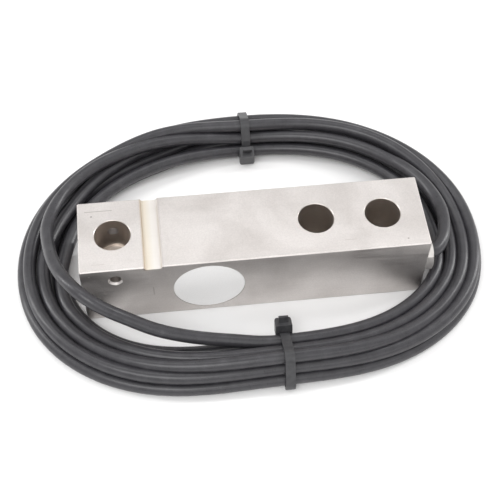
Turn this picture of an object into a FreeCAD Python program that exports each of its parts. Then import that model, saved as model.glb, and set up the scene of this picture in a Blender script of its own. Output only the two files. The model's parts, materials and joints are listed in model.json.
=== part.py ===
import FreeCAD
import Part
import Sketcher
import math
import os
from FreeCAD import Placement, Rotation, Vector

# Single-ended shear beam load cell with its coiled cable.
# Frame: origin at the centre of the beam's bottom face, +X towards the cable end,
# +Z up, the load end at -X. Millimetres throughout.

doc = FreeCAD.newDocument("shear_beam_load_cell")
sheet = doc.addObject("Spreadsheet::Sheet", "sizes")

SIZES = [
    # the machined bar
    ("beam_length", 130.0, "length of the bar"),
    ("beam_width", 31.8, "width of the bar, across"),
    ("beam_height", 31.8, "height of the bar"),
    ("edge_break", 0.4, "chamfer on the bar's outer edges"),
    ("load_hole_inset", 12.7, "load end to load hole axis"),
    ("mount_reach", 76.2, "load hole to first mounting hole"),
    ("mount_pitch", 25.4, "between the mounting holes"),
    ("mount_bore", 13.5, "mounting hole diameter"),
    ("hole_break", 0.25, "chamfer at the mouth of a large hole"),
    ("pocket_bore", 13.5, "load pocket diameter"),
    ("pocket_depth", 15.8, "load pocket depth from the top"),
    ("load_thread_bore", 10.2, "wall diameter of the M12 load thread"),
    ("load_thread_lead", 1.0, "lead-in chamfer of the load thread"),
    ("lock_bore", 4.2, "wall diameter of the lock screw thread"),
    ("lock_level", 25.0, "height of the lock screw axis"),
    ("lock_lead", 0.7, "lead-in chamfer of the lock screw hole"),
    ("relief_start", 23.7, "load end to the near wall of the top relief groove"),
    ("relief_width", 6.4, "width of the top relief groove"),
    ("relief_depth", 1.4, "depth of the top relief groove"),
    ("relief_radius", 1.1, "radius in the relief groove's bottom corners"),
    # the gauge pockets and what closes them
    ("gauge_centre", 47.1, "load end to the gauge pocket axis"),
    ("gauge_level", 15.9, "height of the gauge pocket axis"),
    ("gauge_bore", 24.0, "gauge pocket diameter"),
    ("web_thickness", 4.0, "web left between the gauge pockets"),
    ("cover_bore", 27.0, "cover recess diameter"),
    ("cover_depth", 0.8, "cover recess depth"),
    ("cover_gap", 0.1, "gap round the cover disc, on the diameter"),
    ("cover_thickness", 0.7, "cover disc thickness"),
    ("wire_hole", 2.6, "hole through the web for the bridge wires"),
    ("wire_hole_out", 8.6, "gauge pocket axis to the wire hole"),
    # the cable entry
    ("gland_offset", 9.4, "cable axis in front of the bar's centre plane"),
    ("gland_level", 15.9, "height of the cable axis"),
    ("port_bore", 8.0, "cable port diameter"),
    ("port_depth", 8.0, "cable port depth"),
    ("duct_bore", 3.0, "wiring duct diameter"),
    ("hex_across_flats", 11.0, "gland hexagon across flats"),
    ("hex_length", 3.2, "gland hexagon length"),
    ("hex_turn", 10.0, "turn of the gland hexagon from a flat on top, degrees"),
    ("spigot_length", 4.0, "gland spigot length in the port"),
    ("seal_bore", 7.0, "grommet seat diameter in the gland"),
    ("seal_depth", 5.0, "grommet seat depth in the gland"),
    ("grommet_length", 3.0, "rubber grommet length"),
    ("washer_thickness", 0.5, "gland washer thickness"),
    ("cable_clearance", 0.3, "clearance round the cable in the gland, on the diameter"),
    ("mouth_flare", 0.6, "flare of the gland screw's mouth, on the radius"),
    ("o_ring_section", 1.0, "O-ring section diameter"),
    ("o_ring_radius", 4.7, "O-ring mean radius"),
    # the cable and its coil
    ("cable_diameter", 5.0, "outer diameter of the cable"),
    ("core_diameter", 1.0, "insulated core diameter inside the bar"),
    ("coil_centre_x", 1.5, "coil centre along the bar"),
    ("coil_centre_y", 11.0, "coil centre across the bar"),
    ("coil_mean", 79.8, "mean outer radius of the coil"),
    ("coil_oval", 13.1, "how much longer than wide the coil is"),
    ("coil_lean", 2.0, "turn of the coil's long axis, degrees"),
    ("coil_egg", 1.5, "three-cornered departure of the coil's outline"),
    ("coil_width", 22.0, "width of the bundle of turns"),
    ("coil_height", 10.0, "height of the bundle of turns"),
    ("coil_round", 4.0, "rounding of the bundle's top"),
    ("tie_width", 3.6, "cable tie strap width"),
    ("tie_thickness", 1.1, "cable tie strap thickness"),
    ("tie_head_length", 6.4, "cable tie head, along the cable"),
    ("tie_head_depth", 5.0, "cable tie head, away from the bundle"),
    ("tie_head_height", 6.2, "cable tie head, along the strap"),
    ("sleeve_wall", 0.5, "wall of the shrink sleeve on the cable's end"),
    ("tail_core_diameter", 1.2, "insulated core diameter at the cable's end"),
]
for row, (alias, number, meaning) in enumerate(SIZES, start=1):
    sheet.set("A%d" % row, meaning)
    sheet.set("B%d" % row, str(number))
    sheet.setAlias("B%d" % row, alias)
doc.recompute()


def value(expression):
    """The number that an expression in the sheet's aliases gives now."""
    return float(sheet.evalExpression(expression))


def bound(expression):
    """The same expression, written for an object outside the sheet."""
    names = sorted((alias for alias, _, _ in SIZES), key=len, reverse=True)
    words = expression
    for index, name in enumerate(names):
        words = words.replace(name, "<%d>" % index)
    for index, name in enumerate(names):
        words = words.replace("<%d>" % index, "sizes." + name)
    return words


def bind(item, **expressions):
    """Set each property of an object by an expression."""
    for name, expression in expressions.items():
        item.setExpression(name, bound(expression))


# Places that several features share, as expressions in the sheet's aliases.
LOAD_X = "(load_hole_inset - beam_length / 2)"
MOUNT_X = "(load_hole_inset + mount_reach - beam_length / 2)"
GAUGE_X = "(gauge_centre - beam_length / 2)"
END_X = "(beam_length / 2)"
SIDE_Y = "(beam_width / 2)"

nodes = []


def keep(item, label):
    """Name a finished sub-part and put it on the list to be exported."""
    item.Label = label
    nodes.append(item)
    return item


# ---------------------------------------------------------------- sketch tools

def new_body(name):
    return doc.addObject("PartDesign::Body", name)


def add_sketch(body, name, plane, at=("0", "0", "0")):
    """A sketch on one of the body's own origin planes, moved by three expressions."""
    sketch = body.newObject("Sketcher::SketchObject", name)
    support = next(part for part in body.Origin.OriginFeatures if part.Role == plane)
    sketch.AttachmentSupport = [(support, "")]
    sketch.MapMode = "FlatFace"
    for axis, expression in zip("xyz", at):
        if expression != "0":
            sketch.setExpression("AttachmentOffset.Base." + axis, bound(expression))
    return sketch


def place_point(sketch, item, end, x, y):
    """Hold one end of a sketch element at two expressions."""
    for kind, axis, expression in (("DistanceX", -2, x), ("DistanceY", -1, y)):
        if expression == "0":
            sketch.addConstraint(Sketcher.Constraint("PointOnObject", item, end, axis))
            continue
        number = value(expression)
        index = sketch.addConstraint(Sketcher.Constraint(kind, -1, 1, item, end, number))
        sketch.setExpression("Constraints[%d]" % index, bound(expression))


def polygon(sketch, corners):
    """A closed outline of straight lines whose corners are pairs of expressions."""
    points = [Vector(value(x), value(y), 0) for x, y in corners]
    lines = []
    for start, end in zip(points, points[1:] + points[:1]):
        lines.append(sketch.addGeometry(Part.LineSegment(start, end)))
    for line, after in zip(lines, lines[1:] + lines[:1]):
        sketch.addConstraint(Sketcher.Constraint("Coincident", line, 2, after, 1))
    for line, (x, y) in zip(lines, corners):
        place_point(sketch, line, 1, x, y)


def circle(sketch, x, y, radius):
    """A circle whose centre and radius are expressions."""
    shape = Part.Circle(Vector(value(x), value(y), 0), Vector(0, 0, 1), value(radius))
    item = sketch.addGeometry(shape)
    place_point(sketch, item, 3, x, y)
    index = sketch.addConstraint(Sketcher.Constraint("Radius", item, value(radius)))
    sketch.setExpression("Constraints[%d]" % index, bound(radius))


def add_feature(body, kind, name, sketch=None):
    feature = body.newObject("PartDesign::" + kind, name)
    if sketch is not None:
        feature.Profile = sketch
    return feature


def must_shrink(body, action):
    """Run an action that cuts, and stop if it removed nothing."""
    doc.recompute()
    before = body.Shape.Volume
    action()
    doc.recompute()
    if body.Shape.Volume > before - 1e-3:
        raise RuntimeError("a cut in %s removed nothing" % body.Name)


def turned_cut(body, name, plane, at, axis, corners):
    """A groove turned about one axis of its own sketch."""
    def action():
        sketch = add_sketch(body, name + "_profile", plane, at)
        polygon(sketch, corners)
        groove = add_feature(body, "Groove", name, sketch)
        groove.ReferenceAxis = (sketch, [axis])
        groove.Angle = 360
        body.Tip = groove
    must_shrink(body, action)
    return body.Tip


def edges_where(shape, test):
    """Names of the edges of a shape that pass a test."""
    return ["Edge%d" % (n + 1) for n, edge in enumerate(shape.Edges) if test(edge)]


# ---------------------------------------------------------------- the machined bar

def make_beam():
    """The bar: two gauge pockets with a thin web, load, mounting and cable holes."""
    body = new_body("beam_body")

    blank = add_sketch(body, "blank_outline", "XY_Plane")
    half_length, half_width = "beam_length / 2", "beam_width / 2"
    polygon(blank, [("-" + half_length, "-" + half_width), (half_length, "-" + half_width),
                    (half_length, half_width), ("-" + half_length, half_width)])
    bar = add_feature(body, "Pad", "bar", blank)
    bind(bar, Length="beam_height")
    doc.recompute()
    edges = add_feature(body, "Chamfer", "edge_breaks")
    edges.Base = (bar, ["Edge%d" % (n + 1) for n in range(len(bar.Shape.Edges))])
    bind(edges, Size="edge_break")

    # load hole: plain pocket from the top, threaded hole below, chamfered at each mouth
    pocket, thread = "pocket_bore / 2", "load_thread_bore / 2"
    floor = "beam_height - pocket_depth"
    turned_cut(body, "load_hole", "XZ_Plane", (LOAD_X, "0", "0"), "V_Axis", [
        ("0", "beam_height"), (pocket + " + hole_break", "beam_height"),
        (pocket, "beam_height - hole_break"), (pocket, floor),
        (thread + " + load_thread_lead", floor), (thread, floor + " - load_thread_lead"),
        (thread, "load_thread_lead"), (thread + " + load_thread_lead", "0"), ("0", "0")])

    # mounting holes, the second one a pattern of the first
    bore = "mount_bore / 2"
    first = turned_cut(body, "mount_hole", "XZ_Plane", (MOUNT_X, "0", "0"), "V_Axis", [
        ("0", "beam_height"), (bore + " + hole_break", "beam_height"),
        (bore, "beam_height - hole_break"), (bore, "hole_break"),
        (bore + " + hole_break", "0"), ("0", "0")])

    def repeat():
        pattern = body.newObject("PartDesign::LinearPattern", "mount_holes")
        pattern.Originals = [first]
        axis = next(part for part in body.Origin.OriginFeatures if part.Role == "X_Axis")
        pattern.Direction = (axis, [""])
        pattern.Occurrences = 2
        bind(pattern, Length="mount_pitch")
        body.Tip = pattern
    must_shrink(body, repeat)

    # lock screw hole across the load pocket, through both walls
    lock = "lock_bore / 2"
    turned_cut(body, "lock_hole", "XY_Plane", (LOAD_X, "0", "lock_level"), "V_Axis", [
        ("0", "-" + SIDE_Y), (lock + " + lock_lead", "-" + SIDE_Y),
        (lock, "-" + SIDE_Y + " + lock_lead"), (lock, SIDE_Y + " - lock_lead"),
        (lock + " + lock_lead", SIDE_Y), ("0", SIDE_Y)])

    # relief groove across the top
    near = "relief_start - beam_length / 2"
    far = near + " + relief_width"
    level = "beam_height - relief_depth"

    def relief():
        sketch = add_sketch(body, "relief_profile", "XZ_Plane")
        top = "beam_height + 1"
        polygon(sketch, [(near, top), (near, level), (far, level), (far, top)])
        cut = add_feature(body, "Pocket", "relief_groove", sketch)
        cut.SideType = "Symmetric"
        bind(cut, Length="beam_width + 2")
        body.Tip = cut
    must_shrink(body, relief)
    groove = body.Tip
    corners = edges_where(groove.Shape, lambda edge: all(
        abs(end.Point.z - value(level)) < 1e-4 for end in edge.Vertexes)
        and abs(edge.Length - value("beam_width")) < 1.0)
    rounding = add_feature(body, "Fillet", "relief_corners")
    rounding.Base = (groove, corners)
    bind(rounding, Radius="relief_radius")
    body.Tip = rounding

    # gauge pocket with its cover recess in the front side, mirrored to the rear
    gauge, cover = "gauge_bore / 2", "cover_bore / 2"
    front = turned_cut(body, "gauge_pocket", "XY_Plane", (GAUGE_X, "0", "gauge_level"), "V_Axis", [
        ("0", "-" + SIDE_Y), (cover, "-" + SIDE_Y), (cover, "cover_depth - " + SIDE_Y),
        (gauge, "cover_depth - " + SIDE_Y), (gauge, "-web_thickness / 2"),
        ("0", "-web_thickness / 2")])

    def mirror():
        copy = body.newObject("PartDesign::Mirrored", "rear_gauge_pocket")
        copy.Originals = [front]
        plane = next(part for part in body.Origin.OriginFeatures if part.Role == "XZ_Plane")
        copy.MirrorPlane = (plane, [""])
        body.Tip = copy
    must_shrink(body, mirror)

    def web_hole():
        sketch = add_sketch(body, "wire_hole_outline", "XZ_Plane")
        circle(sketch, GAUGE_X + " - wire_hole_out", "gauge_level", "wire_hole / 2")
        cut = add_feature(body, "Pocket", "wire_hole", sketch)
        cut.SideType = "Symmetric"
        bind(cut, Length="web_thickness + 2")
        body.Tip = cut
    must_shrink(body, web_hole)

    # cable port in the end face, and the duct from it to the front gauge pocket
    port = "port_bore / 2"
    turned_cut(body, "cable_port", "XY_Plane", ("0", "-gland_offset", "gland_level"), "H_Axis", [
        (END_X, "0"), (END_X, port), (END_X + " - port_depth", port),
        (END_X + " - port_depth", "0")])

    def duct():
        sketch = add_sketch(body, "duct_outline", "YZ_Plane", ("0", "0", END_X + " - port_depth"))
        circle(sketch, "-gland_offset", "gland_level", "duct_bore / 2")
        cut = add_feature(body, "Pocket", "wiring_duct", sketch)
        bind(cut, Length=END_X + " - port_depth - " + GAUGE_X + " - gauge_bore / 4")
        body.Tip = cut
    must_shrink(body, duct)
    return keep(body, "beam_body")


# ---------------------------------------------------------------- covers and gauges

def make_cover(label, side):
    """A thin disc in its recess: side is -1 at the front and 1 at the rear."""
    disc = doc.addObject("Part::Cylinder", label + "_disc")
    bind(disc, Radius="(cover_bore - cover_gap) / 2", Height="cover_thickness")
    rim = doc.addObject("Part::Chamfer", label)
    rim.Base = disc
    doc.recompute()
    outer = edges_where(disc.Shape, lambda edge: len(edge.Vertexes) == 1
                        and abs(edge.Vertexes[0].Z - disc.Height.Value) < 1e-6)
    rim.Edges = [(int(name[4:]), 0.15, 0.15) for name in outer]
    seat = value(SIDE_Y) - value("cover_depth")
    rim.Placement = Placement(Vector(value(GAUGE_X), side * seat, value("gauge_level")),
                              Rotation(Vector(1, 0, 0), -90 * side))
    return keep(rim, label)


def slab(name, length, thickness, height, centre, side, lift, tilt=0):
    """A flat box lying on the web's face, turned by tilt about the pocket's axis."""
    box = doc.addObject("Part::Box", name)
    box.Length, box.Width, box.Height = length, thickness, height
    inner = value("web_thickness / 2") + lift
    near = inner if side > 0 else -inner - thickness
    turn = Rotation(Vector(0, 1, 0), tilt)
    corner = turn.multVec(Vector(-length / 2, 0, -height / 2))
    middle = Vector(value(GAUGE_X) + centre[0], near, value("gauge_level") + centre[1])
    box.Placement = Placement(middle + corner, turn)
    return box


CARRIER = (9.0, 0.10, 7.0)     # gauge carrier: length, thickness, height
GRID = (3.6, 0.05, 2.6)        # one gauge grid
GRID_OUT = 2.0                 # gauge centre to each grid
LUG = (0.9, 0.05, 0.7)         # one lead-out lug of a gauge


def make_gauge(label, side):
    """Foil shear gauge: a carrier with two crossed grids and three lugs along one edge."""
    carrier = slab(label + "_carrier", *CARRIER, (0, 0), side, 0)
    pieces = [carrier]
    for turn in (-1, 1):
        pieces.append(slab(label + "_grid", *GRID, (turn * GRID_OUT, 0.5), side, CARRIER[1],
                           turn * 45))
    for step in (-1, 0, 1):
        pieces.append(slab(label + "_lug", *LUG, (step * 2.6, -2.9), side, CARRIER[1]))
    gauge = doc.addObject("Part::MultiFuse", label)
    gauge.Shapes = pieces
    return keep(gauge, label)


STRIP = (8.4, 0.30, 2.2)       # terminal strip: length, thickness, height
STRIP_DROP = 6.2               # gauge centre down to the strip
PAD = (1.3, 0.15, 1.3)         # one solder pad
PAD_STEPS = (-3.0, -1.0, 1.0, 3.0)


def make_tabs(label, side):
    """Terminal strip below the gauge, with four raised solder pads."""
    pieces = [slab(label + "_strip", *STRIP, (0, -STRIP_DROP), side, 0)]
    for step in PAD_STEPS:
        pieces.append(slab(label + "_pad", *PAD, (step, -STRIP_DROP), side, STRIP[1]))
    tabs = doc.addObject("Part::MultiFuse", label)
    tabs.Shapes = pieces
    return keep(tabs, label)


# ---------------------------------------------------------------- tubes along a route

def route_wire(points, share=0.45):
    """Straight runs joined by tangent arcs, and the arcs' radii.

    Each arc is as large as its two runs allow: its tangent length is a share of the
    shorter one.
    """
    edges, radii = [], []
    start = points[0]
    for before, corner, after in zip(points, points[1:], points[2:]):
        run_in, run_out = corner - before, after - corner
        reach = share * min(run_in.Length, run_out.Length)
        turn = run_in.getAngle(run_out)
        radius = reach / math.tan(turn / 2)
        radii.append(radius)
        into = corner - Vector(run_in).normalize() * reach
        out = corner + Vector(run_out).normalize() * reach
        chord = Vector(run_out).normalize() - Vector(run_in).normalize()
        sagitta = radius / math.cos(turn / 2) - radius
        middle = corner + chord.normalize() * sagitta
        edges.append(Part.LineSegment(start, into).toShape())
        edges.append(Part.Arc(into, middle, out).toShape())
        start = out
    edges.append(Part.LineSegment(start, points[-1]).toShape())
    return Part.Wire(edges), radii


def tube(points, diameter, share=0.45):
    """A solid round tube along a route; its volume is checked against its length."""
    wire, radii = route_wire(points, share)
    section = Part.Circle(points[0], points[1] - points[0], diameter / 2)
    solid = wire.makePipe(Part.Face(Part.Wire([section.toShape()])))
    expected = math.pi * diameter ** 2 / 4 * wire.Length
    if abs(solid.Volume - expected) > 0.01 * expected:
        raise RuntimeError("a tube's volume differs from its section times its length")
    return solid, wire.Length, radii


def feature(label, shape):
    """A sub-part whose shape is set here; it keeps the frame's own placement."""
    item = doc.addObject("Part::Feature", label)
    item.Shape = shape
    item.Placement = Placement()
    return keep(item, label)


def straight(start, end, diameter):
    """A plain round bar between two points."""
    run = end - start
    return Part.makeCylinder(diameter / 2, run.Length, start, run)


# ---------------------------------------------------------------- bridge and its wiring

BOARD_RADIUS = 10.6            # compensation board
BOARD_THICKNESS = 0.8
BOARD_LEVEL = 6.0              # centre plane to the board's inner face
CHIP = (1.6, 0.6, 0.8)         # one trim resistor
WIRE = 0.4                     # fine bridge wire


def make_board():
    """Round board with one side cut off, where the cores come in from the duct."""
    body = new_body("bridge_board")
    sketch = add_sketch(body, "board_outline", "XZ_Plane",
                        (GAUGE_X, "gauge_level", "0"))
    half = 20
    arc = Part.ArcOfCircle(Part.Circle(Vector(0, 0, 0), Vector(0, 0, 1), BOARD_RADIUS),
                           math.radians(half), math.radians(360 - half))
    curve = sketch.addGeometry(arc)
    ends = [Vector(BOARD_RADIUS * math.cos(math.radians(turn)),
                   BOARD_RADIUS * math.sin(math.radians(turn)), 0) for turn in (-half, half)]
    chord = sketch.addGeometry(Part.LineSegment(*ends))
    for own, other in ((1, 2), (2, 1)):
        sketch.addConstraint(Sketcher.Constraint("Coincident", chord, own, curve, other))
    sketch.addConstraint(Sketcher.Constraint("Coincident", curve, 3, -1, 1))
    sketch.addConstraint(Sketcher.Constraint("Radius", curve, BOARD_RADIUS))
    sketch.addConstraint(Sketcher.Constraint("Vertical", chord))
    sketch.addConstraint(Sketcher.Constraint("DistanceX", -1, 1, chord, 1, ends[0].x))
    board = add_feature(body, "Pad", "board", sketch)
    board.Length = BOARD_THICKNESS
    body.Placement = Placement(Vector(0, -BOARD_LEVEL, 0), Rotation())
    body.Tip = board
    return keep(body, "bridge_board")


def make_resistors():
    """Four trim resistors in two rows on the board's outer face."""
    chips = []
    face = -BOARD_LEVEL - BOARD_THICKNESS - CHIP[1]
    for column in (-6.5, -3.0):
        for row in (-3.2, 3.2):
            corner = Vector(value(GAUGE_X) + column, face, value("gauge_level") + row - CHIP[2] / 2)
            chips.append(Part.makeBox(*CHIP, corner))
    return feature("trim_resistors", Part.makeCompound(chips))


def make_bridge_wires():
    """Four fine wires from the rear pads, through the web, to the board's inner face."""
    wires = []
    hole_x = value(GAUGE_X) - value("wire_hole_out")
    level = value("gauge_level")
    web = value("web_thickness / 2")
    pad_face = web + STRIP[1] + PAD[1]
    lanes = [(-0.4, -0.4), (0.4, -0.4), (0.4, 0.4), (-0.4, 0.4)]
    for index, (step, (across, up)) in enumerate(zip(PAD_STEPS, lanes)):
        lift = 4.4 + 0.7 * index
        start = Vector(value(GAUGE_X) + step, pad_face, level - STRIP_DROP)
        over = Vector(start.x, lift, start.z)
        turn = Vector(hole_x + across, lift, level + up)
        end = Vector(turn.x, -BOARD_LEVEL, turn.z)
        wires.append(tube([start, over, turn, end], WIRE, 0.2)[0])
    return feature("bridge_wires", Part.makeCompound(wires))


def make_gauge_leads():
    """Four short leads from the front pads to the board's inner face."""
    face = value("web_thickness / 2") + STRIP[1] + PAD[1]
    leads = []
    for step in PAD_STEPS:
        start = Vector(value(GAUGE_X) + step, -face, value("gauge_level") - STRIP_DROP)
        leads.append(straight(start, Vector(start.x, -BOARD_LEVEL, start.z), WIRE))
    return feature("gauge_leads", Part.makeCompound(leads))


def make_potting(label, side, depth, buried):
    """Soft potting that fills a gauge pocket round what is buried in it."""
    fill = doc.addObject("Part::Cylinder", label + "_fill")
    bind(fill, Radius="gauge_bore / 2")
    fill.Height = depth
    fill.Placement = Placement(
        Vector(value(GAUGE_X), side * value("web_thickness / 2"), value("gauge_level")),
        Rotation(Vector(1, 0, 0), -90 * side))
    inside = doc.addObject("Part::Compound", label + "_buried")
    inside.Links = buried
    potting = doc.addObject("Part::Cut", label)
    potting.Base = fill
    potting.Tool = inside
    return keep(potting, label)


CORE_LANES = {                 # place of each core in the duct: across, up, in core radii
    "core_red": (1, 1), "core_black": (1, -1), "core_green": (-1, 1), "core_white": (-1, -1)}
LANE = 1.06                    # a little over one radius, so the cores clear each other


def make_cores():
    """Four cores from the board, through the duct, to the end of the cable's jacket."""
    diameter = value("core_diameter")
    step = LANE * diameter / 2
    axis_y, level = -value("gland_offset"), value("gland_level")
    jacket_x = value(END_X + " - spigot_length")
    face = -BOARD_LEVEL - BOARD_THICKNESS
    for label, (across, up) in CORE_LANES.items():
        y, z = axis_y + across * step, level + up * step
        foot_x = value(GAUGE_X) + (8.4 if across > 0 else 6.2)
        points = [Vector(foot_x, face, z), Vector(foot_x, y, z), Vector(jacket_x, y, z)]
        feature(label, tube(points, diameter)[0])


# ---------------------------------------------------------------- the gland

def turned_solid(name, corners, at=("0", "0", "0")):
    """A body turned about the line y = z = 0 of its own frame, then set on the cable axis."""
    body = new_body(name)
    sketch = add_sketch(body, name + "_profile", "XY_Plane", at)
    polygon(sketch, corners)
    turned = add_feature(body, "Revolution", name + "_turned", sketch)
    turned.ReferenceAxis = (sketch, ["H_Axis"])
    turned.Angle = 360
    body.Tip = turned
    body.setExpression("Placement.Base.x", bound(END_X))
    body.setExpression("Placement.Base.y", bound("-gland_offset"))
    body.setExpression("Placement.Base.z", bound("gland_level"))
    return body


CABLE_HOLE = "(cable_diameter + cable_clearance) / 2"


def make_gland_body():
    """Hexagon and spigot in one piece, bored for the cable and the grommet."""
    hexagon = doc.addObject("Part::Prism", "gland_hexagon")
    hexagon.Polygon = 6
    bind(hexagon, Circumradius="hex_across_flats / sqrt(3)", Height="hex_length")
    hexagon.Placement = Placement(Vector(0, 0, 0), Rotation(Vector(1, 0, 0), -value("hex_turn"))
                                  * Rotation(Vector(0, 1, 0), 90))
    # the cone that turns off the hexagon's outer corners
    cone = doc.addObject("Part::Cone", "gland_corner_cone")
    bind(cone, Radius1="hex_across_flats / 2 + (hex_length + 0.4) * tan(60)",
         Radius2="hex_across_flats / 2 - 0.25 * tan(60)", Height="hex_length + 0.65")
    cone.Placement = Placement(Vector(-0.4, 0, 0), Rotation(Vector(0, 1, 0), 90))
    turned = doc.addObject("Part::Common", "gland_turned_corners")
    turned.Base = hexagon
    turned.Tool = cone
    spigot = doc.addObject("Part::Cylinder", "gland_spigot")
    bind(spigot, Radius="port_bore / 2", Height="spigot_length + 1")
    spigot.Placement = Placement(Vector(-value("spigot_length"), 0, 0),
                                 Rotation(Vector(0, 1, 0), 90))
    blank = doc.addObject("Part::Fuse", "gland_blank")
    blank.Base = turned
    blank.Tool = spigot
    # what is bored out: the cable's way, the grommet seat and the O-ring groove
    way = doc.addObject("Part::Cylinder", "gland_cable_way")
    bind(way, Radius=CABLE_HOLE, Height="hex_length + spigot_length + 2")
    way.Placement = Placement(Vector(-value("spigot_length") - 1, 0, 0),
                              Rotation(Vector(0, 1, 0), 90))
    seat = doc.addObject("Part::Cylinder", "gland_grommet_seat")
    bind(seat, Radius="seal_bore / 2", Height="seal_depth + 1")
    seat.Placement = Placement(Vector(value("hex_length - seal_depth"), 0, 0),
                               Rotation(Vector(0, 1, 0), 90))
    groove = doc.addObject("Part::Feature", "gland_o_ring_groove")
    half = value("o_ring_section") / 2 + 0.05
    mean = value("o_ring_radius")
    depth = value("o_ring_section")
    ring = Part.makeCylinder(mean + half, depth, Vector(0, 0, 0), Vector(1, 0, 0))
    groove.Shape = ring.cut(Part.makeCylinder(mean - half, depth, Vector(0, 0, 0),
                                              Vector(1, 0, 0)))
    bores = doc.addObject("Part::MultiFuse", "gland_bores")
    bores.Shapes = [way, seat, groove]
    gland = doc.addObject("Part::Cut", "gland_body")
    gland.Base = blank
    gland.Tool = bores
    gland.Placement = Placement(Vector(value(END_X), -value("gland_offset"),
                                       value("gland_level")), Rotation())
    return keep(gland, "gland_body")


def make_gland_parts():
    """O-ring, grommet, washer and screw, in the order they go in."""
    ring = doc.addObject("Part::Torus", "gland_o_ring")
    bind(ring, Radius1="o_ring_radius", Radius2="o_ring_section / 2")
    ring.Placement = Placement(
        Vector(value(END_X) + value("o_ring_section") / 2, -value("gland_offset"),
               value("gland_level")), Rotation(Vector(0, 1, 0), 90))
    keep(ring, "gland_o_ring")

    start = "hex_length - seal_depth"
    behind_grommet = start + " + grommet_length"
    behind_washer = behind_grommet + " + washer_thickness"
    seat, cable = "seal_bore / 2", "cable_diameter / 2"
    parts = [("gland_grommet", cable, cable, start, behind_grommet),
             ("gland_washer", CABLE_HOLE, CABLE_HOLE, behind_grommet, behind_washer),
             ("gland_screw", CABLE_HOLE, CABLE_HOLE + " + mouth_flare", behind_washer,
              "hex_length")]
    for label, inner, mouth, near, far in parts:
        body = turned_solid(label, [(near, inner), (near, seat), (far, seat), (far, mouth)])
        keep(body, label)


# ---------------------------------------------------------------- the cable

D = value("cable_diameter")


def vectors(triples):
    return [Vector(*triple) for triple in triples]


# Leaves the gland, bends back over the turns at the bar's end and sinks into the coil.
LEAD_ROUTE = vectors([
    (65.3, -9.4, 15.9), (69.0, -9.4, 15.9), (72.1, -7.2, 15.9), (75.4, -2.4, 15.8),
    (77.9, 4.4, 15.2), (79.4, 12.6, 13.6), (77.2, 21.8, 12.8), (74.2, 31.6, 12.7),
    (69.3, 40.6, 12.0), (62.6, 48.4, 7.0)])

# The topmost turn springs up at the load end, leans over the bar's corner and drops back.
RAISED_ROUTE = vectors([
    (-38.6, 58.6, 7.2), (-47.6, 55.6, 12.2), (-57.6, 50.4, 12.8), (-67.6, 42.2, 12.9),
    (-75.0, 31.6, 13.3), (-78.9, 19.2, 15.0), (-77.8, 7.9, 18.0), (-75.3, -3.9, 22.0),
    (-70.8, -13.7, 25.0), (-64.9, -21.4, 25.6), (-57.4, -25.8, 22.1), (-48.9, -28.2, 17.6),
    (-40.2, -31.6, 14.4), (-31.6, -31.4, 8.0)])

# Peels off the inner side of the coil and lies on the floor behind the bar.
TAIL_ROUTE = vectors([
    (76.6, -1.0, 2.5), (76.6, 7.6, 2.5), (74.4, 16.6, 2.5), (68.8, 24.2, 2.5),
    (60.4, 28.9, 2.6), (50.6, 29.8, 2.8), (40.6, 28.8, 3.0), (30.8, 28.0, 3.0)])


def coil_radius(angle):
    """Outer radius of the coil at an angle in radians from +X."""
    lean = math.radians(value("coil_lean"))
    return (value("coil_mean") + value("coil_oval") * math.cos(2 * (angle - lean))
            - value("coil_egg") * math.sin(3 * angle))


def coil_point(angle, inset):
    """A point of the coil's plan, an inset in from its outer line along the normal."""
    step = 1e-4
    slope = (coil_radius(angle + step) - coil_radius(angle - step)) / (2 * step)
    radius = coil_radius(angle)
    outward = Vector(math.cos(angle), math.sin(angle), 0)
    along = Vector(-math.sin(angle), math.cos(angle), 0)
    normal = (outward * radius - along * slope).normalize()
    centre = Vector(value("coil_centre_x"), value("coil_centre_y"), 0)
    return centre + outward * radius - normal * inset


def coil_outline(inset):
    """A closed smooth line round the coil."""
    count = 24
    points = [coil_point(2 * math.pi * n / count, inset) for n in range(count)]
    curve = Part.BSplineCurve()
    curve.interpolate(points, PeriodicFlag=True)
    return Part.Wire([curve.toShape()])


# Each tie: its place along the bar, the strands at the corners of the bundle that it
# holds (across, up), and its head (across, up, lean in degrees).
REAR_TIE = (4.4, [(59.5, 3.6), (74.9, 3.6), (72.4, 8.0), (65.3, 12.5), (62.0, 8.0)],
            (55.0, 5.4, 10))
FRONT_TIE = (8.2, [(-51.9, 3.6), (-36.6, 3.6), (-38.7, 8.2), (-47.6, 12.2)],
             (-32.6, 8.6, -20))
COIL_GAP = 0.4                 # room left round what the coil lies beside


def belt_face(corners, radius, x):
    """The face inside a belt drawn tight round equal circles at the corners."""
    def offset(point, direction, length):
        return Vector(x, point[0] + direction[0] * length, point[1] + direction[1] * length)

    normals = []
    for (y0, z0), (y1, z1) in zip(corners, corners[1:] + corners[:1]):
        run = math.hypot(y1 - y0, z1 - z0)
        normals.append(((z1 - z0) / run, -(y1 - y0) / run))
    edges = []
    for index, corner in enumerate(corners):
        before, after = normals[index - 1], normals[index]
        middle = (before[0] + after[0], before[1] + after[1])
        size = math.hypot(*middle)
        middle = (middle[0] / size, middle[1] / size)
        edges.append(Part.Arc(offset(corner, before, radius), offset(corner, middle, radius),
                              offset(corner, after, radius)).toShape())
        following = corners[(index + 1) % len(corners)]
        edges.append(Part.LineSegment(offset(corner, after, radius),
                                      offset(following, after, radius)).toShape())
    return Part.Face(Part.Wire(edges))


def belt_solid(corners, radius, x, width):
    face = belt_face(corners, radius, x - width / 2)
    return face.extrude(Vector(width, 0, 0))


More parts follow.
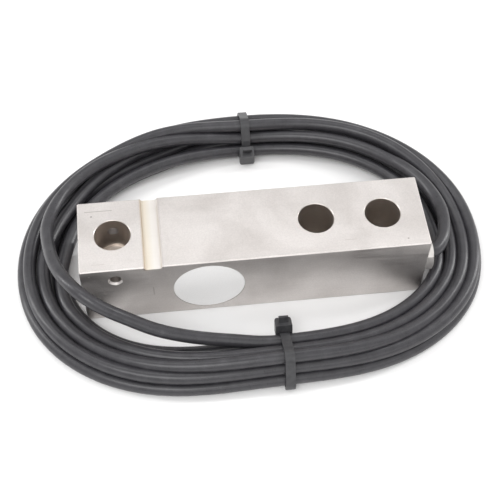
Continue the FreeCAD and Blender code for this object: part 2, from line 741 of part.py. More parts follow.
def tie_head(x, head, gap=0.0):
    """The square head of a tie, larger all round by a gap."""
    long, deep, tall = (value(name) + 2 * gap for name in
                        ("tie_head_length", "tie_head_depth", "tie_head_height"))
    block = Part.makeBox(long, deep, tall, Vector(-long / 2, -deep / 2, -tall / 2))
    block = block.makeFillet(0.9, [edge for edge in block.Edges
                                   if abs(edge.BoundBox.XLength - long) > 1e-3])
    block.Placement = Placement(Vector(x, head[0], head[1]),
                                Rotation(Vector(1, 0, 0), head[2]))
    return block


def make_coil():
    """One closed solid of the coil's outer shape, drawn in where the ties hold it."""
    height = value("coil_height")
    up = Vector(0, 0, height)
    outer, inner = (Part.Face(coil_outline(inset)).extrude(up)
                    for inset in (0, value("coil_width")))
    ring = outer.cut(inner)
    for level, radius in ((height, value("coil_round")), (0.0, value("coil_round") / 2)):
        rims = [edge for edge in ring.Edges
                if abs(edge.BoundBox.ZMin - level) < 1e-3 and abs(edge.BoundBox.ZMax - level) < 1e-3]
        ring = ring.makeFillet(radius, rims)
    # keeps off the bar's corner, which the innermost turn lies against, and off the gland
    length, width = value("beam_length"), value("beam_width")
    hexagon = value("hex_across_flats")
    for corner, far in (((-length / 2, -width / 2), (length / 2, width / 2)),
                        ((0, -value("gland_offset") - hexagon / 2),
                         (length / 2 + value("hex_length"), hexagon / 2 - value("gland_offset")))):
        low = Vector(corner[0] - COIL_GAP, corner[1] - COIL_GAP, 0)
        ring = ring.cut(Part.makeBox(far[0] + COIL_GAP - low.x, far[1] + COIL_GAP - low.y,
                                     height, low))
    reach = value("coil_width") + 4 * D
    slot = value("tie_width") + COIL_GAP
    for x, corners, head in (REAR_TIE, FRONT_TIE):
        middle = sum(y for y, _ in corners) / len(corners)
        block = Part.makeBox(slot, reach, height + 2 * D,
                             Vector(x - slot / 2, middle - reach / 2, -D))
        ring = ring.cut(block.cut(belt_solid(corners, D / 2, x, slot)))
        ring = ring.cut(tie_head(x, head, COIL_GAP).cut(belt_solid(corners, D / 2, x, slot)))
    return feature("cable_coil", ring)


def make_cable_tube(label, route, coil):
    """A stretch of the cable outside the coil, ending on the coil's surface."""
    solid, length, radii = tube(route, D)
    print("%s: %.0f mm, bend radii %s mm"
          % (label, length, ", ".join("%.1f" % radius for radius in radii)))
    pieces = sorted(solid.cut(coil.Shape).Solids, key=lambda piece: piece.Volume)
    return feature(label, pieces[-1])


def make_tie(label, tie):
    """One moulded tie: strap, head and the clipped end of the strap."""
    x, corners, head = tie
    width, thickness = value("tie_width"), value("tie_thickness")
    strap = belt_solid(corners, D / 2 + thickness, x, width)
    strap = strap.cut(belt_solid(corners, D / 2, x, width + 1))
    tall = value("tie_head_height")
    end = Part.makeBox(width, thickness, tall + 2.4,
                       Vector(-width / 2, -thickness / 2, -tall / 2))
    end.Placement = tie_head(x, head).Placement
    block = tie_head(x, head).fuse(end)
    block = block.cut(belt_solid(corners, D / 2 + 0.01, x, value("tie_head_length") + 4))
    return feature(label, strap.fuse(block).removeSplitter())


# ---------------------------------------------------------------- the cable's free end

TAIL_CORES = {                 # place in the bundle, and how far each core spreads out
    "tail_core_red": (1, 1, 7.0), "tail_core_black": (1, -1, 2.6),
    "tail_core_green": (-1, 1, -2.4), "tail_core_white": (-1, -1, -6.6)}
SLEEVE_OVERLAP = 4.0           # sleeve on the jacket
SLEEVE_REACH = 7.0             # sleeve beyond the jacket
SLEEVE_TAPER = 1.6             # length over which the sleeve narrows
BARE = 5.0                     # tinned length at each core's end
TINNED = 0.7                   # diameter of the tinned strands
DRAIN = 0.5                    # bare drain wire


def tail_frame():
    """Where the jacket ends, the way it points, and the way across it."""
    along = (TAIL_ROUTE[-1] - TAIL_ROUTE[-2]).normalize()
    return TAIL_ROUTE[-1], along, Vector(0, 0, 1).cross(along)


def make_tail_sleeve():
    """Shrink sleeve: tight on the jacket, narrower on the cores."""
    end, along, _ = tail_frame()
    wall = value("sleeve_wall")
    wide, narrow = D / 2 + wall, 1.5 * value("tail_core_diameter") + wall
    start = end - along * SLEEVE_OVERLAP
    shoulder = SLEEVE_OVERLAP + wall
    skin = Part.makeCylinder(wide, shoulder, start, along)
    skin = skin.fuse([
        Part.makeCone(wide, narrow, SLEEVE_TAPER, start + along * shoulder, along),
        Part.makeCylinder(narrow, SLEEVE_REACH - SLEEVE_TAPER - wall,
                          start + along * (shoulder + SLEEVE_TAPER), along)])
    skin = skin.cut(Part.makeCylinder(D / 2, SLEEVE_OVERLAP, start, along))
    skin = skin.cut(Part.makeCylinder(narrow - wall, SLEEVE_REACH + 1, end, along))
    return feature("tail_sleeve", skin.removeSplitter())


def make_tail_cores():
    """Four cores and the drain wire fan out on the floor, each core with a tinned end."""
    end, along, side = tail_frame()
    diameter = value("tail_core_diameter")
    step = LANE * diameter / 2
    tips = []

    def fan(label, across, up, spread, size):
        """One wire; it gives back where it ends and the way it points there."""
        foot = end - side * across * step + Vector(0, 0, up * step)
        rest = size / 2 + 0.05
        spread_out = Vector(0, spread, 0)
        drop = Vector(0, 0, rest - foot.z)
        points = [foot, foot + along * (SLEEVE_REACH + 0.5),
                  foot + along * 15 + spread_out * 0.5 + drop * 0.4,
                  foot + along * 25 + spread_out * 0.9 + drop,
                  foot + along * 36 + spread_out + drop]
        feature(label, tube(points, size)[0])
        return points[-1], (points[-1] - points[-2]).normalize()

    for label, (across, up, spread) in TAIL_CORES.items():
        tips.append(Part.makeCylinder(TINNED / 2, BARE, *fan(label, across, up, spread,
                                                             diameter)))
    fan("tail_drain", 0, 0, 0.3, DRAIN)
    feature("tail_tinned_ends", Part.makeCompound(tips))


# ---------------------------------------------------------------- the whole object

make_beam()
make_cover("front_cover_disc", -1)
make_cover("rear_cover_disc", 1)
front_gauge = make_gauge("front_shear_gauge", -1)
rear_gauge = make_gauge("rear_shear_gauge", 1)
front_tabs = make_tabs("front_solder_tabs", -1)
rear_tabs = make_tabs("rear_solder_tabs", 1)
make_board()
make_resistors()
wires = make_bridge_wires()
leads = make_gauge_leads()
make_potting("front_potting", -1, BOARD_LEVEL - value("web_thickness / 2"),
             [front_gauge, front_tabs, wires, leads])
make_potting("rear_potting", 1, 8.0, [rear_gauge, rear_tabs, wires])
make_cores()
make_gland_body()
make_gland_parts()
feature("cable_entry", straight(Vector(value(END_X + " - spigot_length"), -value("gland_offset"),
                                       value("gland_level")), LEAD_ROUTE[0], D))
coil = make_coil()
make_cable_tube("cable_lead", LEAD_ROUTE, coil)
make_cable_tube("cable_raised_turn", RAISED_ROUTE, coil)
make_cable_tube("cable_tail", TAIL_ROUTE, coil)
make_tie("rear_cable_tie", REAR_TIE)
make_tie("front_cable_tie", FRONT_TIE)
make_tail_sleeve()
make_tail_cores()

doc.recompute()

for item in doc.Objects:
    if "Invalid" in item.State or "Error" in item.State:
        raise RuntimeError("%s did not compute" % item.Name)
for node in nodes:
    if node.Shape.isNull() or not node.Shape.isValid():
        raise RuntimeError("%s has no valid shape" % node.Label)

os.makedirs("parts", exist_ok=True)
for node in nodes:
    node.Shape.exportStep("parts/%s.step" % node.Label)
    print("%-20s %d solid(s), %9.1f mm3" % (node.Label, len(node.Shape.Solids), node.Shape.Volume))
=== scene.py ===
import json
import math

import bpy
from mathutils import Matrix, Vector


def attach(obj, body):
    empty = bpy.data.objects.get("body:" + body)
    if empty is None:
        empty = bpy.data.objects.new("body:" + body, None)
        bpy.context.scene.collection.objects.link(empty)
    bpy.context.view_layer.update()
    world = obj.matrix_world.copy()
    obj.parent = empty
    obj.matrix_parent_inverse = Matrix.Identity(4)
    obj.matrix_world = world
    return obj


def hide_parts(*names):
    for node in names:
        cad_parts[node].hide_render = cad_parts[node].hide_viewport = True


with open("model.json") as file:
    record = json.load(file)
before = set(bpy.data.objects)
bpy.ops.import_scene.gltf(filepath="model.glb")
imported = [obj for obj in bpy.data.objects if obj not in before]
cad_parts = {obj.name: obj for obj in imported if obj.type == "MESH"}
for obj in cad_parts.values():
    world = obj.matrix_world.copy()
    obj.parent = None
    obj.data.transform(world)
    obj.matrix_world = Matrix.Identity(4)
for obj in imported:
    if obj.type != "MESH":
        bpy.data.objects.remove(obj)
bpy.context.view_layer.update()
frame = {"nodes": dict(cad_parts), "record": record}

# A shear beam load cell inside the coil of its own cable. Lengths are written in
# millimetres, and MM turns them to metres where Blender needs them.
MM = 0.001
ROOT = "root"
MOUNTS = {mount["name"]: mount for mount in frame["record"]["mounts"]}


def metres(point):
    return Vector(point) * MM


# ---------------------------------------------------------------- camera

VIEW_TURN = math.radians(7.857)      # the camera stands this far round from straight in front
VIEW_RISE = math.radians(54.992)     # and looks down at this angle
VIEW_ROLL = math.radians(-1.564)     # tilted a little about its own line of sight
VIEW_DISTANCE = 427.74
VIEW_AIM = (-0.73, 10.06, 0)         # what it looks at on the floor, in its own turned frame
LENS = 76.35                         # focal length, for a sensor of the width below
SENSOR_WIDTH = 36.0
NEAREST_SEEN = 0.01                  # metres


def make_camera():
    data = bpy.data.cameras.new("camera")
    data.lens = LENS
    data.sensor_width = SENSOR_WIDTH
    data.clip_start = NEAREST_SEEN
    back = Vector((0, -math.cos(VIEW_RISE), math.sin(VIEW_RISE)))
    right = Vector((1, 0, 0))
    up = back.cross(right)
    cos_roll, sin_roll = math.cos(VIEW_ROLL), math.sin(VIEW_ROLL)
    right, up = right * cos_roll - up * sin_roll, right * sin_roll + up * cos_roll
    place = metres(VIEW_AIM) + back * VIEW_DISTANCE * MM
    turned = Matrix((right, up, back)).transposed().to_4x4()
    camera = bpy.data.objects.new("camera", data)
    camera.matrix_world = (Matrix.Rotation(-VIEW_TURN, 4, "Z")
                           @ Matrix.Translation(place) @ turned)
    bpy.context.scene.collection.objects.link(camera)
    bpy.context.scene.camera = camera


# ---------------------------------------------------------------- the cable's route

CABLE = 5.0                          # diameter

COIL_CENTRE = (1.5, 11.0)
COIL_MEAN = 79.8                     # mean radius of the coil's outer side
COIL_OVAL = 13.1                     # longer by this along the bar, shorter by it across
COIL_EGG = 1.5                       # fuller at the rear by this
COIL_LEAN = math.radians(2.0)        # how far the oval is turned


def coil_radius(angle):
    """The coil's outer radius, angle being measured from the gland's end of the bar."""
    return (COIL_MEAN + COIL_OVAL * math.cos(2 * (angle - COIL_LEAN))
            - COIL_EGG * math.sin(3 * angle))


def coil_point(degrees, inset, height):
    """A point of a turn, so far inside the outermost turn's centre line and so high."""
    angle = math.radians(degrees)
    step = 1e-4                      # radians, to take the oval's slope over
    slope = (coil_radius(angle + step) - coil_radius(angle - step)) / (2 * step)
    outward = Vector((math.cos(angle), math.sin(angle), 0))
    along = Vector((-math.sin(angle), math.cos(angle), 0))
    radius = coil_radius(angle)
    normal = (outward * radius - along * slope).normalized()
    centre = Vector((COIL_CENTRE[0], COIL_CENTRE[1], height))
    return centre + outward * radius - normal * (inset + CABLE / 2)


# The lanes of the bundle: 5 to 8 lie on the floor and 1 to 4 on them, and the lead joins
# lane 0 on top. Each table says where the lanes lie at one place round the coil, as (inset,
# height), and STATIONS says how many degrees round that is.
AT_FRONT = {1: (13.6, 8.2), 2: (8.7, 9.2), 3: (4.7, 12.2), 4: (2.7, 7.7),
            5: (0.4, 3.6), 6: (5.5, 3.6), 7: (10.5, 3.6), 8: (15.7, 3.6)}
AT_CORNER = {1: (14.0, 7.5), 2: (9.3, 7.5), 3: (4.6, 7.7), 4: (0.2, 7.2),
             5: (-0.9, 2.5), 6: (4.1, 2.5), 7: (9.2, 2.5), 8: (14.2, 2.5)}
AT_RIGHT = {0: (14.5, 12.3), 1: (18.6, 7.4), 2: (11.9, 7.2), 3: (7.0, 7.4), 4: (2.3, 7.0),
            5: (0.9, 2.5), 6: (5.9, 2.5), 7: (11.0, 2.5), 8: (17.8, 2.5)}
PAST_RIGHT = {0: (14.9, 10.6), 1: (18.2, 5.8), 2: (11.0, 7.5), 3: (8.4, 11.8), 4: (3.6, 7.4),
              5: (1.3, 2.9), 6: (6.3, 2.9), 7: (11.4, 2.9)}
AT_REAR = {0: (14.2, 8.0), 1: (17.2, 3.6), 2: (9.5, 8.1), 3: (11.4, 12.5), 4: (4.6, 8.0),
           5: (1.9, 3.6), 6: (7.0, 3.6), 7: (12.1, 3.6)}
PAST_REAR = {1: (18.6, 6.9), 2: (8.8, 7.4), 3: (6.9, 12.2), 4: (3.2, 7.4),
             5: (0.8, 2.8), 6: (5.8, 2.8), 7: (10.9, 2.8), 8: (16.0, 2.8)}
AT_LEFT = {1: (17.3, 7.0), 2: (12.5, 7.0), 3: (7.6, 7.0), 4: (2.2, 7.0),
           5: (-0.6, 2.5), 6: (4.4, 2.5), 7: (9.5, 2.5), 8: (14.6, 2.5)}
PAST_LEFT = {2: (11.2, 7.0), 3: (6.2, 7.0), 4: (1.2, 7.0),
             5: (-1.4, 2.5), 6: (3.6, 2.5), 7: (8.6, 2.5), 8: (13.6, 2.5)}
STATIONS = [(-83, AT_FRONT), (-23, AT_CORNER), (0, AT_RIGHT), (40, PAST_RIGHT), (87, AT_REAR),
            (122, PAST_REAR), (180, AT_LEFT), (203, PAST_LEFT), (277, AT_FRONT)]

# Turn n changes from lane n to lane n + 1 between these degrees.
CHANGE = {0: (190, 262), 1: (172, 200), 2: (158, 185), 3: (126, 158), 4: (112, 144),
          5: (102, 132), 6: (97, 126), 7: (94, 122)}


def ease(low, high, share):
    """A smooth change from one (inset, height) to another."""
    share = min(1.0, max(0.0, share))
    share = share * share * (3 - 2 * share)
    return tuple(a + (b - a) * share for a, b in zip(low, high))


def lane_place(lane, degrees):
    """Where a lane lies, between the two nearest stations that know it."""
    known = [(place, table[lane]) for place, table in STATIONS if lane in table]
    for (start, low), (end, high) in zip(known, known[1:]):
        if degrees <= end:
            return ease(low, high, (degrees - start) / (end - start))
    return known[-1][1]


def turn_point(turn, degrees):
    """A point of a turn, which leaves its own lane for the next one on the way."""
    start, end = CHANGE[turn]
    place = ease(lane_place(turn, degrees), lane_place(turn + 1, degrees),
                 (degrees - start) / (end - start))
    return coil_point(degrees, *place)


# The lead leaves the gland, bends back over the turns at the bar's end and sinks into the
# coil at LEAD_JOINS degrees.
LEAD_ROUTE = [
    (65.3, -9.4, 15.9), (69.0, -9.4, 15.9), (72.0, -7.2, 15.9), (75.0, -2.4, 15.8),
    (77.0, 4.6, 15.2), (77.9, 12.6, 13.8), (76.3, 21.4, 12.9), (72.6, 29.6, 12.6),
    (67.4, 37.1, 12.0)]
LEAD_JOINS = 30

# Turn 0 springs up past RAISED_STARTS degrees at the load end, leans over the bar's corner
# and is back in its lane at RAISED_ENDS.
RAISED_ROUTE = [
    (-13.5, 62.6, 9.6), (-25.0, 61.4, 11.4), (-36.5, 59.3, 12.2), (-47.6, 55.3, 12.4),
    (-57.6, 50.4, 12.8), (-67.6, 42.2, 12.9), (-75.0, 31.6, 13.3), (-78.9, 19.2, 15.0),
    (-77.8, 7.9, 18.0), (-75.3, -3.9, 22.0), (-70.8, -13.7, 25.0), (-64.9, -21.4, 25.6),
    (-57.4, -25.8, 22.1), (-48.9, -28.2, 17.6), (-40.2, -31.6, 14.6), (-31.2, -33.6, 12.2),
    (-21.5, -35.1, 10.4), (-10.7, -36.4, 9.2)]
RAISED_STARTS = 90
RAISED_ENDS = 270

# After the last turn the cable peels off the inner side of the coil at TAIL_LEAVES degrees
# and lies on the floor behind the bar.
TAIL_ROUTE = [
    (76.3, -0.6, 2.5), (76.2, 8.0, 2.5), (74.2, 16.6, 2.5), (68.8, 24.2, 2.5),
    (60.4, 28.9, 2.6), (50.6, 29.8, 2.8), (40.6, 28.8, 3.0), (30.8, 28.0, 3.0)]
TAIL_LEAVES = 350

TURNS = 8
TURN_STARTS = -80                    # degrees, near the middle of the coil's front
TURN_STEP = 10                       # degrees between two points of a turn
FULL_TURN = 360


def cable_points():
    """The whole cable, from the gland round its eight turns to its free end."""
    turn_ends = TURN_STARTS + FULL_TURN
    points = [Vector(point) for point in LEAD_ROUTE]
    for turn in range(TURNS):
        for degrees in range(TURN_STARTS, turn_ends, TURN_STEP):
            if turn == 0 and (degrees < LEAD_JOINS or RAISED_STARTS < degrees < RAISED_ENDS):
                continue
            points.append(turn_point(turn, degrees))
            if turn == 0 and degrees == RAISED_STARTS:
                points += [Vector(point) for point in RAISED_ROUTE]
    for degrees in range(turn_ends, TAIL_LEAVES, TURN_STEP):
        points.append(coil_point(degrees, *lane_place(TURNS, degrees - FULL_TURN)))
    return points + [Vector(point) for point in TAIL_ROUTE]


def make_cable():
    curve = bpy.data.curves.new("cable", "CURVE")
    curve.dimensions = "3D"
    curve.bevel_depth = 1.0          # is multiplied by each point's radius
    curve.bevel_resolution = 5
    curve.resolution_u = 5
    curve.use_fill_caps = True
    points = cable_points()
    spline = curve.splines.new("NURBS")
    spline.points.add(len(points) - 1)
    for slot, point in zip(spline.points, points):
        slot.co = (*metres(point), 1.0)
        slot.radius = CABLE / 2 * MM
    spline.order_u = 3
    spline.use_endpoint_u = True
    cable = bpy.data.objects.new("cable", curve)
    bpy.context.scene.collection.objects.link(cable)
    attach(cable, ROOT)
    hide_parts("cable_lead", "cable_raised_turn", "cable_coil", "cable_tail")
    return cable


make_camera()
cable = make_cable()


# ---------------------------------------------------------------- material tools

class Nodes:
    """A material's node tree, with short ways to add what the materials share.

    Sizes and distances are in millimetres.
    """

    def __init__(self, name):
        self.material = bpy.data.materials.new(name)
        self.material.use_nodes = True
        self.tree = self.material.node_tree
        self.shader = self.tree.nodes["Principled BSDF"]
        self.place = self.add("ShaderNodeTexCoord").outputs["Object"]

    def add(self, kind, **settings):
        node = self.tree.nodes.new(kind)
        for name, setting in settings.items():
            setattr(node, name, setting)
        return node

    def link(self, source, target):
        self.tree.links.new(source, target)

    def set(self, **values):
        """Constant values straight on the shader's sockets."""
        for name, number in values.items():
            self.shader.inputs[name.replace("_", " ")].default_value = number

    def stretched(self, scale, turn=(0, 0, 0)):
        """Object coordinates, scaled and turned, for a pattern that runs one way."""
        node = self.add("ShaderNodeMapping")
        node.inputs["Scale"].default_value = scale
        node.inputs["Rotation"].default_value = turn
        self.link(self.place, node.inputs["Vector"])
        return node.outputs["Vector"]

    def noise(self, size, detail=3.0, roughness=0.5, place=None, distortion=0.0):
        """Noise whose features are about this size."""
        node = self.add("ShaderNodeTexNoise")
        node.inputs["Scale"].default_value = 1 / (size * MM)
        node.inputs["Detail"].default_value = detail
        node.inputs["Roughness"].default_value = roughness
        node.inputs["Distortion"].default_value = distortion
        self.link(place or self.place, node.inputs["Vector"])
        return node.outputs["Fac"]

    def ramp(self, source, stops):
        """Colours or grey levels along a value."""
        node = self.add("ShaderNodeValToRGB")
        elements = node.color_ramp.elements
        while len(elements) < len(stops):
            elements.new(0.5)
        for element, (position, colour) in zip(elements, stops):
            element.position = position
            if isinstance(colour, (int, float)):
                colour = (colour, colour, colour)
            element.color = (*colour, 1)
        self.link(source, node.inputs["Fac"])
        return node.outputs["Color"]

    def mix(self, share, low, high, blend="MIX"):
        """Two colours mixed by a share. Each of the three is a constant or a link."""
        node = self.add("ShaderNodeMix", data_type="RGBA", blend_type=blend)
        for socket, value in (("Factor", share), ("A", low), ("B", high)):
            found = [s for s in node.inputs if s.name == socket and s.enabled][0]
            if isinstance(value, bpy.types.NodeSocket):
                self.link(value, found)
            elif isinstance(value, tuple):
                found.default_value = (*value, 1)
            else:
                found.default_value = value
        return [s for s in node.outputs if s.enabled][0]

    def math(self, operation, *values, clamp=False):
        """One sum on constants or links."""
        node = self.add("ShaderNodeMath", operation=operation, use_clamp=clamp)
        for socket, value in zip(node.inputs, values):
            if isinstance(value, bpy.types.NodeSocket):
                self.link(value, socket)
            else:
                socket.default_value = value
        return node.outputs[0]

    def axis(self, name):
        """One of the object coordinates, in metres."""
        node = self.add("ShaderNodeSeparateXYZ")
        self.link(self.place, node.inputs[0])
        return node.outputs[name]

    def between(self, source, low, high, soft):
        """1 where a coordinate lies between two lengths, with soft edges."""
        rise = self.math("MULTIPLY_ADD", source, 1 / (soft * MM), -low / soft + 0.5, clamp=True)
        fall = self.math("MULTIPLY_ADD", source, -1 / (soft * MM), high / soft + 0.5, clamp=True)
        return self.math("MULTIPLY", rise, fall)

    def bump(self, height, strength, distance):
        node = self.add("ShaderNodeBump")
        node.inputs["Strength"].default_value = strength
        node.inputs["Distance"].default_value = distance * MM
        self.link(height, node.inputs["Height"])
        self.link(node.outputs["Normal"], self.shader.inputs["Normal"])

    def colour(self, source):
        self.link(source, self.shader.inputs["Base Color"])

    def rough(self, source):
        self.link(source, self.shader.inputs["Roughness"])


# ---------------------------------------------------------------- metals

# Small marks on the bar: how far they reach along X, Y and Z, and their colour.
TOP_FACE = (31.6, 32.0)
FRONT_FACE = (-16.1, -15.7)
WEAR_MARKS = [
    ((-62.3, -52.0), (11.30, 11.52), TOP_FACE, (0.36, 0.33, 0.31)),
    ((-60.1, -59.5), (8.90, 9.35), TOP_FACE, (0.20, 0.18, 0.17)),
    ((-60.5, -55.6), (-12.9, -12.75), TOP_FACE, (0.50, 0.46, 0.43)),
    ((33.0, 37.5), (-11.2, -11.0), TOP_FACE, (0.50, 0.46, 0.43)),
    ((56.4, 57.0), (-13.0, -12.5), TOP_FACE, (0.30, 0.27, 0.25)),
    ((-62.0, -61.3), FRONT_FACE, (28.4, 29.0), (1.0, 0.97, 0.94)),
    ((-38.9, -38.6), FRONT_FACE, (13.5, 18.5), (0.42, 0.39, 0.37))]

GROOVE = (-41.6, -34.6)              # along X, for its colour
GROOVE_HEIGHT = (30.0, 40.0)         # from under its floor to over the bar
TINT_START = -42.0                   # where the row of colours across the groove starts
TINT_SPAN = 8.0                      # and how wide it is
BORES = ("load_pocket", "mount_hole_1", "mount_hole_2")
BORE_REACH = 6.83                    # the bores' radius and a little of the rim
BORE_SHADE_SHARE = 0.85                    # how far the painted shade in the bores covers the bar's colour
SOFT_SIDE = 0.12                     # how soft the edges of marks and bores are
SOFT_END = 0.25


def from_axis(tools, x):
    """Distance in metres from the axis of an upright bore at (x, 0)."""
    along = tools.math("SUBTRACT", tools.axis("X"), x)
    across = tools.axis("Y")
    square = tools.math("ADD", tools.math("MULTIPLY", along, along),
                        tools.math("MULTIPLY", across, across))
    return tools.math("SQRT", square)


def bar_metal():
    """Ground and lightly blasted bar: cloudy, with a warmer groove whose two walls carry painted
    shade, and painted grey-brown shade in the bores.
    """
    tools = Nodes("bar_metal")
    tools.set(Metallic=1.0)
    clouds = tools.noise(26, 4, 0.55, distortion=0.6)
    base = tools.ramp(clouds, [(0.30, (0.60, 0.565, 0.545)), (0.55, (0.70, 0.665, 0.645)),
                               (0.75, (0.76, 0.725, 0.705))])
    grain = tools.noise(0.5, 2, 0.6)
    base = tools.mix(0.16, base, tools.ramp(grain, [(0.3, 0.35), (0.7, 1.0)]), "MULTIPLY")
    groove = tools.math("MULTIPLY", tools.between(tools.axis("X"), *GROOVE, 0.8),
                        tools.between(tools.axis("Z"), *GROOVE_HEIGHT, 0.6))
    # The colours across the groove: a cream tone in the middle, and painted shade at both walls,
    # where the ramp's end stops are dark.
    across = tools.math("MULTIPLY_ADD", tools.axis("X"), 1 / (TINT_SPAN * MM),
                        -TINT_START / TINT_SPAN)
    base = tools.mix(groove, base, tools.ramp(across, [
        (0.05, (0.50, 0.42, 0.34)), (0.25, (0.74, 0.68, 0.58)), (0.55, (0.78, 0.75, 0.71)),
        (0.88, (0.72, 0.68, 0.65)), (0.97, (0.30, 0.26, 0.24))]))
    # Painted shade: the bores get a darker grey-brown in place of the bar's colour.
    for name in BORES:
        distance = from_axis(tools, MOUNTS[name]["pos_m"][0])
        inside = tools.between(distance, -1.0, BORE_REACH, SOFT_SIDE)
        base = tools.mix(tools.math("MULTIPLY", inside, BORE_SHADE_SHARE), base, (0.66, 0.60, 0.55))
    for along, across, up, tone in WEAR_MARKS:
        mark = tools.math("MULTIPLY", tools.between(tools.axis("X"), *along, SOFT_END),
                          tools.between(tools.axis("Y"), *across, SOFT_SIDE))
        mark = tools.math("MULTIPLY", mark, tools.between(tools.axis("Z"), *up, SOFT_SIDE))
        base = tools.mix(mark, base, tone)
    tools.colour(base)
    patches = tools.noise(9, 3, 0.6)
    scratches = tools.noise(1.2, 2, 0.5, place=tools.stretched((0.05, 1.0, 1.0), (0, 0, 0.12)))
    rough = tools.ramp(patches, [(0.25, 0.34), (0.75, 0.46)])
    rough = tools.mix(0.25, rough, tools.ramp(scratches, [(0.35, 0.2), (0.65, 0.6)]))
    tools.rough(rough)
    tools.bump(tools.math("ADD", grain, scratches), 0.10, 0.05)
    return tools.material


def cover_metal():
    """Fine matte cover disc."""
    tools = Nodes("cover_metal")
    tools.set(Metallic=0.10)
    grain = tools.noise(0.35, 2, 0.6)
    tools.colour(tools.ramp(grain, [(0.3, (0.88, 0.875, 0.87)), (0.7, (0.94, 0.935, 0.93))]))
    tools.rough(tools.ramp(tools.noise(6, 2), [(0.3, 0.52), (0.7, 0.62)]))
    tools.bump(grain, 0.08, 0.03)
    return tools.material


def plated_metal():
    """Nickel plated gland: satin, slightly warm, with faint turning marks."""
    tools = Nodes("plated_metal")
    tools.set(Metallic=1.0)
    tools.colour(tools.ramp(tools.noise(5, 3), [(0.3, (0.80, 0.76, 0.73)),
                                                (0.7, (0.88, 0.85, 0.82))]))
    turned = tools.noise(0.6, 2, 0.5, place=tools.stretched((1.0, 0.2, 0.2)))
    tools.rough(tools.ramp(turned, [(0.3, 0.30), (0.7, 0.40)]))
    tools.bump(turned, 0.04, 0.01)
    return tools.material


def fine_metal(name, dark, light, rough):
    """A small metal part: foil, solder or tinned strands."""
    tools = Nodes(name)
    tools.set(Metallic=1.0)
    tools.colour(tools.ramp(tools.noise(0.8, 3), [(0.3, dark), (0.7, light)]))
    tools.rough(tools.ramp(tools.noise(0.4, 2), [(0.3, rough), (0.7, rough + 0.15)]))
    tools.bump(tools.noise(0.3, 2), 0.1, 0.02)
    return tools.material


# ---------------------------------------------------------------- plastics and rubber

def jacket_plastic():
    """Dark grey cable jacket: satin, faintly dusty."""
    tools = Nodes("jacket_plastic")
    tools.set(Specular_IOR_Level=0.5)
    dust = tools.noise(4, 4, 0.6)
    tools.colour(tools.ramp(dust, [(0.30, (0.029, 0.028, 0.032)), (0.62, (0.042, 0.041, 0.046)),
                                   (0.80, (0.062, 0.060, 0.065))]))
    fine = tools.noise(0.5, 3, 0.6)
    tools.rough(tools.ramp(fine, [(0.3, 0.26), (0.7, 0.38)]))
    tools.bump(fine, 0.10, 0.04)
    return tools.material


def plain_plastic(name, dark, light, rough=0.45):
    """Moulded or extruded plastic with a slight unevenness."""
    tools = Nodes(name)
    patch = 2.0
    tools.colour(tools.ramp(tools.noise(patch, 3), [(0.3, dark), (0.7, light)]))
    fine = tools.noise(patch / 6, 2, 0.6)
    tools.rough(tools.ramp(fine, [(0.3, rough - 0.06), (0.7, rough + 0.08)]))
    tools.bump(fine, 0.08, 0.03)
    return tools.material


def potting_rubber():
    """Milky cast silicone."""
    tools = Nodes("potting_rubber")
    tools.set(Subsurface_Weight=0.15, Subsurface_Scale=2 * MM)
    tools.colour(tools.ramp(tools.noise(4, 3), [(0.3, (0.70, 0.69, 0.65)),
                                                (0.7, (0.80, 0.79, 0.75))]))
    tools.rough(tools.ramp(tools.noise(1.5, 2), [(0.3, 0.35), (0.7, 0.5)]))
    tools.bump(tools.noise(1.2, 2), 0.08, 0.05)
    return tools.material


def paint(names, material):
    """Gives CAD nodes a material in place of their plain one."""
    for name in names:
        piece = frame["nodes"][name]
        piece.data.materials.clear()
        piece.data.materials.append(material)


jacket = jacket_plastic()
cable.data.materials.append(jacket)
paint(["beam_body"], bar_metal())
paint(["front_cover_disc", "rear_cover_disc"], cover_metal())
paint(["gland_body", "gland_washer", "gland_screw"], plated_metal())
paint(["cable_entry", "cable_lead", "cable_raised_turn", "cable_coil", "cable_tail"], jacket)
paint(["front_shear_gauge", "rear_shear_gauge"],
      fine_metal("gauge_foil", (0.50, 0.34, 0.16), (0.66, 0.48, 0.26), 0.35))
paint(["front_solder_tabs", "rear_solder_tabs", "bridge_wires", "gauge_leads"],
      fine_metal("solder_copper", (0.55, 0.33, 0.20), (0.70, 0.52, 0.38), 0.3))
paint(["tail_drain", "tail_tinned_ends"],
      fine_metal("tinned_strands", (0.50, 0.49, 0.46), (0.72, 0.70, 0.66), 0.3))
paint(["front_potting", "rear_potting"], potting_rubber())
paint(["bridge_board"], plain_plastic("board_laminate", (0.02, 0.09, 0.04), (0.03, 0.13, 0.06)))
paint(["trim_resistors"], plain_plastic("chip_ceramic", (0.02, 0.02, 0.02), (0.04, 0.04, 0.04)))
paint(["gland_o_ring", "gland_grommet"],
      plain_plastic("seal_rubber", (0.012, 0.012, 0.012), (0.025, 0.025, 0.025), 0.55))
paint(["rear_cable_tie", "front_cable_tie"],
      plain_plastic("tie_nylon", (0.030, 0.030, 0.033), (0.050, 0.050, 0.053), 0.40))
paint(["tail_sleeve"],
      plain_plastic("shrink_sleeve", (0.012, 0.012, 0.013), (0.024, 0.024, 0.026), 0.5))

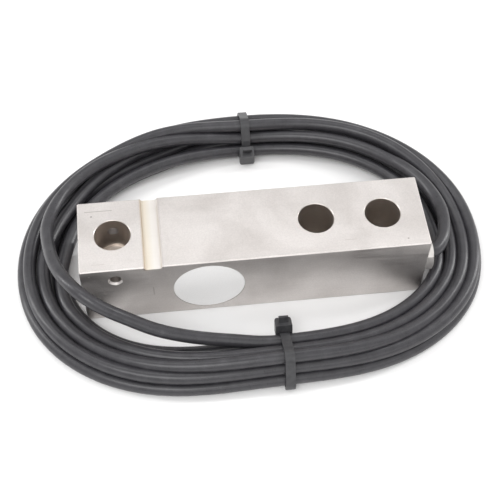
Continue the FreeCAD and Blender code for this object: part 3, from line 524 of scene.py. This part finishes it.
CORE_COLOURS = {"red": (0.42, 0.02, 0.015), "black": (0.015, 0.015, 0.016),
                "green": (0.02, 0.20, 0.06), "white": (0.76, 0.75, 0.71)}
for colour, tone in CORE_COLOURS.items():
    lighter = tuple(min(1.0, part * 1.25 + 0.01) for part in tone)
    paint(["core_" + colour, "tail_core_" + colour],
          plain_plastic("insulation_" + colour, tone, lighter, 0.42))


# ---------------------------------------------------------------- stage and light

# Lengths here are in metres.
FLOOR_REACH = 3.0
WORLD_STRENGTH = 0.80
LAMP_AIM = (0, 0, 0.01)
LAMPS = [                            # name, place, width and height, watts
    ("key_front", (-0.35, -0.60, 1.05), (0.7, 0.5), 5.0),
    ("top_strip", (-0.10, 0.55, 1.25), (1.3, 0.12), 2.2),
    ("left_strip", (-1.00, 0.25, 0.60), (0.12, 1.0), 4.5),
    ("front_strip", (0.25, -1.05, 0.70), (1.3, 0.20), 1.6),
    ("right_strip", (1.00, 0.30, 0.60), (0.14, 1.0), 5.5)]


def make_floor():
    mesh = bpy.data.meshes.new("floor")
    corners = [(-1, -1), (1, -1), (1, 1), (-1, 1)]
    mesh.from_pydata([(x * FLOOR_REACH, y * FLOOR_REACH, 0) for x, y in corners],
                     [], [(0, 1, 2, 3)])
    floor = bpy.data.objects.new("floor", mesh)
    bpy.context.scene.collection.objects.link(floor)
    tools = Nodes("pale_floor")
    tools.set(Roughness=0.85, Specular_IOR_Level=0.1)
    tools.colour(tools.ramp(tools.noise(120, 2), [(0.3, 0.90), (0.7, 0.92)]))
    mesh.materials.append(tools.material)


def make_world():
    world = bpy.data.worlds.new("studio")
    bpy.context.scene.world = world
    world.use_nodes = True
    background = world.node_tree.nodes["Background"]
    background.inputs["Color"].default_value = (1.0, 0.995, 0.99, 1)
    background.inputs["Strength"].default_value = WORLD_STRENGTH


def make_lamp(name, place, size, power):
    """A soft rectangular lamp that points at the object."""
    data = bpy.data.lights.new(name, "AREA")
    data.shape = "RECTANGLE"
    data.size, data.size_y = size
    data.energy = power
    lamp = bpy.data.objects.new(name, data)
    lamp.location = place
    sight = Vector(LAMP_AIM) - Vector(place)
    lamp.rotation_euler = sight.to_track_quat("-Z", "Y").to_euler()
    bpy.context.scene.collection.objects.link(lamp)


make_floor()
make_world()
for lamp in LAMPS:
    make_lamp(*lamp)

bpy.context.scene.view_settings.view_transform = "Standard"
